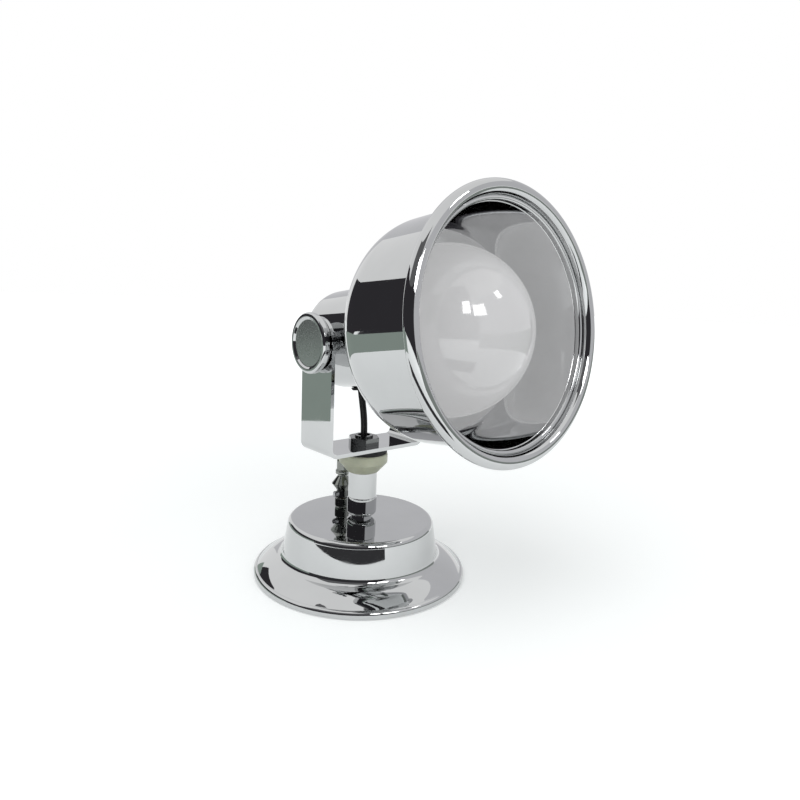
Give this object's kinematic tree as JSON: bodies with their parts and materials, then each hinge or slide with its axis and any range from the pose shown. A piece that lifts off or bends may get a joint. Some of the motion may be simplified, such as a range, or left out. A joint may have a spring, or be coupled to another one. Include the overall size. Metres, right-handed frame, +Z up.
{
  "type": "tabletop searchlight lamp",
  "caption": "Round weighted base with a swivelling post, an open yoke and a tilting bowl reflector round a globe bulb.",
  "frame": {"origin": "on the table, on the axis of the base and the post", "axes": "+Z up along the post; the lamp shines towards -Y with the reflector tilted 7.6 degrees up; +X along the pivot axis of the reflector, towards its right-hand knob"},
  "size_m": [0.12, 0.1667, 0.2035],
  "materials": {
    "chrome": "bright mirror chrome plate",
    "switch_metal": "dark, smoky nickel",
    "steel": "zinc-plated steel",
    "iron": "rough casting",
    "rubber": "matt black",
    "pad": "matt black",
    "cream": "ivory fibre",
    "phenolic": "dark moulded",
    "porcelain": "white glaze",
    "brass": "plain brass",
    "aluminium": "rolled aluminium",
    "opal": "glossy opal white glass",
    "insulation": "black sleeving"
  },
  "bodies": {
    "base": {"base_cover": "chrome", "foot_pad": "pad", "base_plate": "steel", "base_weight": "iron", "base_screws": "steel", "weight_washer": "steel", "weight_nut": "steel", "spacer_tube": "steel", "swivel_stem": "chrome", "inlet_grommet": "rubber", "switch_body": "phenolic", "switch_nut": "switch_metal"},
    "switch": {"switch_shaft": "brass", "switch_knob": "switch_metal", "knob_screw": "steel"},
    "pan": {"swivel_barrel": "chrome", "swivel_spring": "steel", "post_tube": "chrome", "yoke_nipple": "steel", "insulating_washer": "cream", "yoke_gasket": "rubber", "yoke": "chrome", "yoke_nut": "chrome", "lead_wires": "insulation"},
    "shade": {"socket_cup": "chrome", "entry_grommet": "rubber", "reflector_bowl": "chrome", "rim_ring": "chrome", "lamp_holder": "porcelain", "clamp_ring": "steel", "holder_screws": "steel", "screw_shell": "brass", "holder_contact": "brass", "bulb_contact": "brass", "bulb_cap": "aluminium", "cap_insulator": "phenolic", "bulb_glass": "opal", "pivot_stud_left": "steel", "pivot_boss_left": "chrome", "inner_washer_left": "steel", "outer_washer_left": "steel", "pivot_stud_right": "steel", "pivot_boss_right": "chrome", "inner_washer_right": "steel", "outer_washer_right": "steel"},
    "knob_left": {"thumb_knob_left": "chrome"},
    "knob_right": {"thumb_knob_right": "chrome"}
  },
  "joints": [
    {"name": "pan_swivel", "type": "hinge", "parent": "base", "child": "pan", "pos_m": [0, 0, 0.04], "axis": [0, 0, 1], "range_deg": [-170, 170]},
    {"name": "shade_tilt", "type": "hinge", "parent": "pan", "child": "shade", "pos_m": [0, 0, 0.129], "axis": [-1, 0, 0], "range_deg": [-30, 60], "deforming": ["lead_wires"]},
    {"name": "knob_left_turn", "type": "hinge", "parent": "shade", "child": "knob_left", "pos_m": [-0.0354, 0, 0.129], "axis": [-1, 0, 0], "range_deg": [0, 180]},
    {"name": "knob_right_turn", "type": "hinge", "parent": "shade", "child": "knob_right", "pos_m": [0.0354, 0, 0.129], "axis": [1, 0, 0], "range_deg": [0, 180]},
    {"name": "switch_turn", "type": "hinge", "parent": "base", "child": "switch", "pos_m": [0, 0.0185, 0.045], "axis": [0, 0, 1], "range_deg": [0, 90]}
  ]
}
